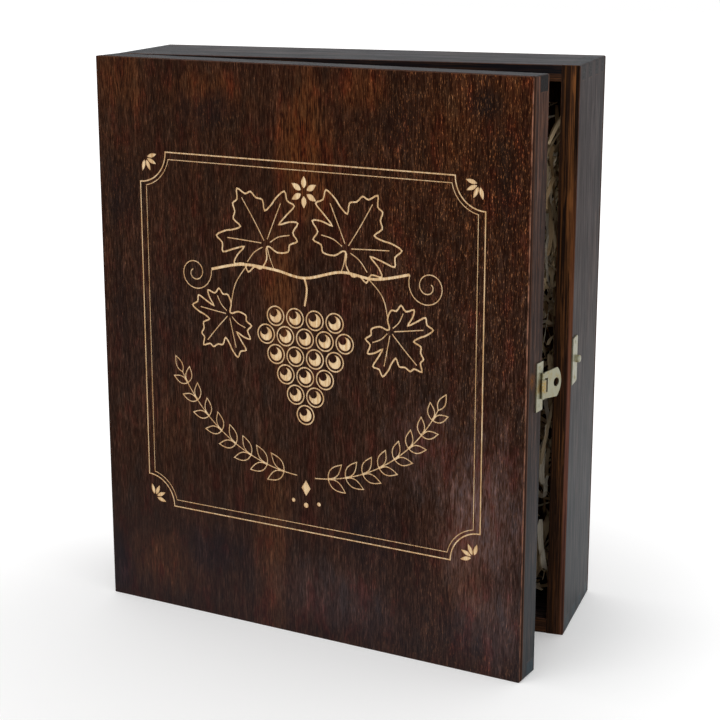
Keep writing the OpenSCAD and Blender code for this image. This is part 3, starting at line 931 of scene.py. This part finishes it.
# Solid cutters for one layer: bands along the strokes and slabs under the filled shapes
def makeCutter(layer, low, depth):
    above = 0.5
    middle = low.y + (depth - above) / 2 * mm
    centre = Vector((engraving["centre"][0] * mm, middle, engraving["centre"][1] * mm))
    strokes = layer["strokes"]
    jobs = [(width, [(points, closed) for points, closed, other in strokes if other == width])
            for width in sorted({width for points, closed, width in strokes})]
    if layer["fills"]:
        jobs.append((None, [(points, True) for points in layer["fills"]]))
    cutters = []
    for width, runs in jobs:
        deselect()
        bpy.ops.curve.primitive_bezier_curve_add(location=centre, rotation=(math.pi / 2, 0, 0))
        curve = bpy.context.object.data
        curve.splines.clear()
        curve.dimensions = "2D"
        curve.fill_mode = "BOTH" if width is None else "NONE"
        curve.extrude = (depth + above) / 2 * mm
        for points, closed in runs:
            spline = curve.splines.new("POLY")
            spline.points.add(len(points) - 1)
            spline.use_cyclic_u = closed
            for target, (across, up) in zip(spline.points, points):
                target.co = (across * mm, up * mm, 0, 1)
        bpy.ops.object.convert(target="MESH")
        cutter = bpy.context.object
        if width is not None:
            applyModifier(cutter, "SOLIDIFY", thickness=width * mm, offset=0, use_even_offset=True,
                          thickness_clamp=0)
        weldMesh()
        bpy.ops.mesh.normals_make_consistent(inside=False)
        cutters.append(cutter)
    return joinAll(cutters, "engravingCutter")


# The CAD panel's own shape with the drawing sunk into its face
def engravePanel():
    name = "lid_panel"
    low, high = shutBox(name)
    deselect()
    panel = nodes[name].copy()
    panel.data = nodes[name].data.copy()
    bpy.context.collection.objects.link(panel)
    for key in list(panel.keys()):
        del panel[key]
    panel.parent = None
    panel.matrix_world = Matrix.Identity(4)
    panel.name = "engraved_lid_panel"
    panel.data.transform(lidShut)
    pick(panel)
    weldMesh()
    bpy.ops.mesh.customdata_custom_splitnormals_clear()
    for axis, direction in ((0, Vector((1, 0, 0))), (2, Vector((0, 0, 1)))):
        cut = low[axis] + engraving["sheetStep"] * mm
        while cut < high[axis] - 2 * mm:
            bpy.ops.mesh.select_all(action="SELECT")
            bpy.ops.mesh.bisect(plane_co=direction * cut, plane_no=direction)
            cut += engraving["sheetStep"] * mm
    for layer in drawEngraving():
        cutter = makeCutter(layer, low, engraving["depth"])
        applyModifier(panel, "BOOLEAN", operation="DIFFERENCE", object=cutter, solver="MANIFOLD")
        bpy.data.objects.remove(cutter)
    return panel, low


def engravedFinish(name):
    values = engravedTones[name]
    material, tree, shader = newMaterial(name)
    vector, normal = boardSpace(tree, "lid_panel")
    grain = useGroup(grainGroup, vector, Fine=800.0, Length=values["length"])
    streak = grain["Streak"]
    base = mixColor(streak, values["dark"], values["light"])
    if "pore" in values:
        base = mixColor(grain["Pore"] * 0.6, base, values["pore"])
    feed(shader, {"Base Color": base, "Roughness": ramp(streak, 0, 1, *values["roughness"]),
                  "Specular IOR Level": 0.1})
    addBump(shader, streak, 0.3)
    return material


# Slots of the panel's faces: 0 stained face, 1 floor of the cut, 2 its burnt walls, 3 the panel's edges
def finishPanel(panel, low):
    panel.data.materials.clear()
    for material in (panelStain("lid_panel"), engravedFinish("engravedWood"), engravedFinish("burntWood"),
                     panelEdge("lid_panel")):
        panel.data.materials.append(material)
    centre = Vector((engraving["centre"][0] * mm, 0, engraving["centre"][1] * mm))
    above, below = engraving["slack"]
    for face in panel.data.polygons:
        away = face.center - centre
        sunk = (face.center.y - low.y) / mm
        isFace = abs(face.normal.y) > squareOn or sunk < engraving["faceDeep"]
        face.material_index = 0 if isFace else 3
        drawn = max(abs(away.x), abs(away.z)) < engraving["drawingHalf"] * mm
        if drawn and above < sunk < engraving["depth"] + below:
            face.material_index = 1 if face.normal.y < -engraving["floorOn"] else 2
    pick(panel)
    bpy.ops.object.shade_smooth_by_angle(angle=math.radians(engraving["smoothAngle"]))
    panel.data.transform(lidOpen)
    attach(panel, "lid")
    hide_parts("lid_panel")


panel, panelLow = engravePanel()
finishPanel(panel, panelLow)
print("lid panel engraved:", len(panel.data.polygons), "faces")

# ---- wood wool: curled ribbons of shaved wood, laid round the bottle nest

woodWool = {
    "shapes": {"long": 12, "curl": 14},
    "steps": 12,
    "width": {"long": (1.6, 3.0), "curl": (2.2, 4.2)},
    "thick": 0.16,
    "length": {"long": (62, 120), "curl": (30, 62)},
    "bend": {"long": 2.6, "curl": 4.8},
    "sway": (0.5, 2.2),
    "phase": (0, 6.28),
    "lift": (1.0, 3.2),
    "roll": (-0.9, 0.9),
    "twist": (-1.6, 1.6),
    "tip": {"long": 0.07, "curl": 0.7},     # how far a ribbon tips out of the plane of its bank
    "tries": 40,            # places tried for each ribbon
    "proud": 5,             # how far a curl may stand out of its bank into the nest
    "seed": 19,
    "counts": {
        "wool_back": (640, 190),
        "wool_hinge_side": (190, 110),
        "wool_latch_side": (14, 64),
        "wool_foot": (120, 110),
    },
    "sideWidth": 17, "backDeep": 14, "footHigh": 16,
    "dark": color(0.42, 0.28, 0.14),
    "light": color(0.84, 0.70, 0.46),
    "palest": color(0.95, 0.88, 0.71),
    "fleck": color(0.28, 0.155, 0.07),
    "smoothAngle": 50,
}


# One ribbon, laid near the plane y = 0 and curling as it goes
def makeRibbon(kind, chance):
    steps = woodWool["steps"]
    length = chance.uniform(*woodWool["length"][kind]) * mm
    width = chance.uniform(*woodWool["width"][kind]) * mm
    bpy.ops.mesh.primitive_grid_add(x_subdivisions=steps, y_subdivisions=1, size=1, location=(0, 0, 0))
    ribbon = bpy.context.object
    bend = chance.uniform(-1, 1) * woodWool["bend"][kind]
    sway, phase, lift, roll, twist = [chance.uniform(*woodWool[key])
                                      for key in ("sway", "phase", "lift", "roll", "twist")]
    heading = 0.0
    spot = Vector((0, 0, 0))
    spine = []
    for step in range(steps + 1):
        t = step / steps
        spine.append((spot.copy(), heading, roll + twist * math.sin(3.0 * t + phase)))
        heading += (bend + sway * math.sin(5.2 * t + phase)) / steps
        stride = length / steps
        spot += Vector((stride * math.cos(heading), 0, stride * math.sin(heading)))
        spot.y = lift * mm * math.sin(4.4 * t + phase * 1.7)
    middle = sum((point for point, heading, tilt in spine), Vector()) / len(spine)
    for vertex in ribbon.data.vertices:
        step = round((vertex.co.x + 0.5) * steps)
        side = 1 if vertex.co.y > 0 else -1
        point, heading, tilt = spine[step]
        across = Vector((-math.sin(heading) * math.cos(tilt), math.sin(tilt),
                         math.cos(heading) * math.cos(tilt)))
        taper = 1 if 0 < step < steps else 0.6
        vertex.co = point - middle + across * side * width * taper / 2
    applyModifier(ribbon, "SOLIDIFY", thickness=woodWool["thick"] * mm, offset=0)
    return ribbon


# Each bank of wool: its lowest and highest corner, how its ribbons are turned to lie flat in it, and how
# far its curls may pass either corner
def woolBanks():
    low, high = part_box("wood_wool")
    side, back, foot, proud = [woodWool[key] * mm for key in ("sideWidth", "backDeep", "footHigh", "proud")]
    flat = Matrix.Identity(4)
    upright = Matrix.Rotation(math.pi / 2, 4, "Z")
    lying = Matrix.Rotation(math.pi / 2, 4, "X")
    return {
        "wool_back": ((low.x, high.y - back, low.z), high, flat, (0, -proud, 0), (0, 0, 0)),
        "wool_hinge_side": (low, (low.x + side, high.y, high.z), upright, (0, 0, 0), (proud, 0, 0)),
        "wool_latch_side": ((high.x - side, low.y, low.z), high, upright, (-proud, 0, 0), (0, 0, 0)),
        "wool_foot": (low, (high.x, high.y, low.z + foot), lying, (0, 0, 0), (0, 0, proud)),
    }


# A copy of a ribbon, with its own number in its UVs so that it takes its own tone
def layStrand(ribbon, move, number):
    strand = ribbon.copy()
    strand.data = ribbon.data.copy()
    strand.data.transform(move)
    for corner in strand.data.uv_layers[0].data:
        corner.uv.x += number
    bpy.context.collection.objects.link(strand)
    return strand


def layWool():
    chance = random.Random(woodWool["seed"])
    deselect()
    ribbons = {kind: [makeRibbon(kind, chance) for index in range(count)]
               for kind, count in woodWool["shapes"].items()}
    banks = []
    for name, (start, end, lay, lowProud, highProud) in woolBanks().items():
        strands = []
        for kind, count in zip(("long", "curl"), woodWool["counts"][name]):
            loose = kind == "curl"
            least = [start[axis] + lowProud[axis] * loose for axis in range(3)]
            most = [end[axis] + highProud[axis] * loose for axis in range(3)]
            wanted = len(strands) + count
            for attempt in range(count * woodWool["tries"]):
                ribbon = chance.choice(ribbons[kind])
                spin = Matrix.Rotation(chance.uniform(0, 2 * math.pi), 4, "Y")
                tip = Matrix.Rotation(chance.gauss(0, woodWool["tip"][kind]), 4, chance.choice("XZ"))
                spot = Vector([chance.uniform(least[axis], most[axis]) for axis in range(3)])
                move = Matrix.Translation(spot) @ lay @ tip @ spin
                points = [move @ vertex.co for vertex in ribbon.data.vertices]
                if any(not least[axis] <= point[axis] <= most[axis] for point in points for axis in range(3)):
                    continue
                strands.append(layStrand(ribbon, move, len(strands)))
                if len(strands) == wanted:
                    break
        banks.append(joinAll(strands, name))
        print(name, len(strands), "ribbons")
    for ribbon in ribbons["long"] + ribbons["curl"]:
        bpy.data.objects.remove(ribbon)
    return banks


def woolFinish():
    material, tree, shader = newMaterial("woodWool")
    u, v, w = split(coordinates(tree, "UV"))
    strand = maths("FLOOR", u)
    own = wired("TexWhiteNoise", "Value", {"W": strand}, noise_dimensions="1D")
    fibre = noise(combined(u * 5.0, v * 9.0, strand), 3, 0.6)
    base = mixColor(ramp(own, 0.0, 1.0), woodWool["dark"], woodWool["light"])
    base = mixColor(ramp(own, 0.76, 0.86), base, woodWool["palest"])
    base = mixColor(ramp(fibre, 0.35, 0.7, 0, 0.5), base, woodWool["fleck"])
    feed(shader, {"Base Color": base, "Roughness": ramp(fibre, 0, 1, 0.55, 0.8), "Specular IOR Level": 0.25})
    addBump(shader, fibre, 0.25)
    return material


woolMaterial = woolFinish()
for bank in layWool():
    bank.data.materials.clear()
    bank.data.materials.append(woolMaterial)
    pick(bank)
    bpy.ops.object.shade_smooth_by_angle(angle=math.radians(woodWool["smoothAngle"]))
    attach(bank, "tray")
    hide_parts("wood_wool")
print("wood wool laid")

# ---- brass

brass = {
    "latch": {"pale": color(0.40, 0.385, 0.28), "yellow": color(0.40, 0.29, 0.09), "smooth": 0.34,
              "rubbed": color(0.46, 0.26, 0.03), "rubReach": (0.010, 0.0045, 0.0055)},
    "hinge": {"pale": color(0.60, 0.50, 0.29), "yellow": color(0.40, 0.27, 0.10), "smooth": 0.30},
    "speck": color(0.16, 0.10, 0.04),
}


# The latch plate is rubbed and tarnished in specks where its tongue is curled
def brassFinish(kind):
    values = brass[kind]
    material, tree, shader = newMaterial(kind + "Brass")
    vector = coordinates(tree, "Object")
    cloudy = noise(mapped(vector, (240, 240, 240)), 4, 0.6)
    specks = noise(mapped(vector, (1400, 1400, 1400)), 2, 0.7)
    base = mixColor(ease(cloudy, 0.50, 0.74, 0, 0.65), values["pale"], values["yellow"])
    base = mixColor(ramp(specks, 0.66, 0.76, 0, 0.5), base, brass["speck"])
    if "rubbed" in values:
        low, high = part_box("latch_plate")
        ragged = noise(mapped(vector, (520, 520, 520)), 3, 0.7)
        rubbed = useGroup(blotchGroup, vector, Ragged=ragged, Reach=values["rubReach"],
                          Centre=(high.x, (low.y + high.y) / 2, (low.z + high.z) / 2))["Mask"]
        base = mixColor(rubbed * ramp(specks, 0.44, 0.58, 0.2, 0.95), base, values["rubbed"])
    smooth = values["smooth"]
    feed(shader, {"Base Color": base, "Metallic": 1,
                  "Roughness": ramp(cloudy, 0.3, 0.7, smooth - 0.05, smooth + 0.12)})
    addBump(shader, specks, 0.12, 0.0001)
    return material


latchBrass = brassFinish("latch")
hingeBrass = brassFinish("hinge")
for name in nodes:
    if any(part in name for part in ("latch_plate", "hasp", "catch_plate")):
        paint(name, latchBrass)
    elif any(part in name for part in ("leaf", "pin", "screws")):
        paint(name, hingeBrass)
print("brass finished")
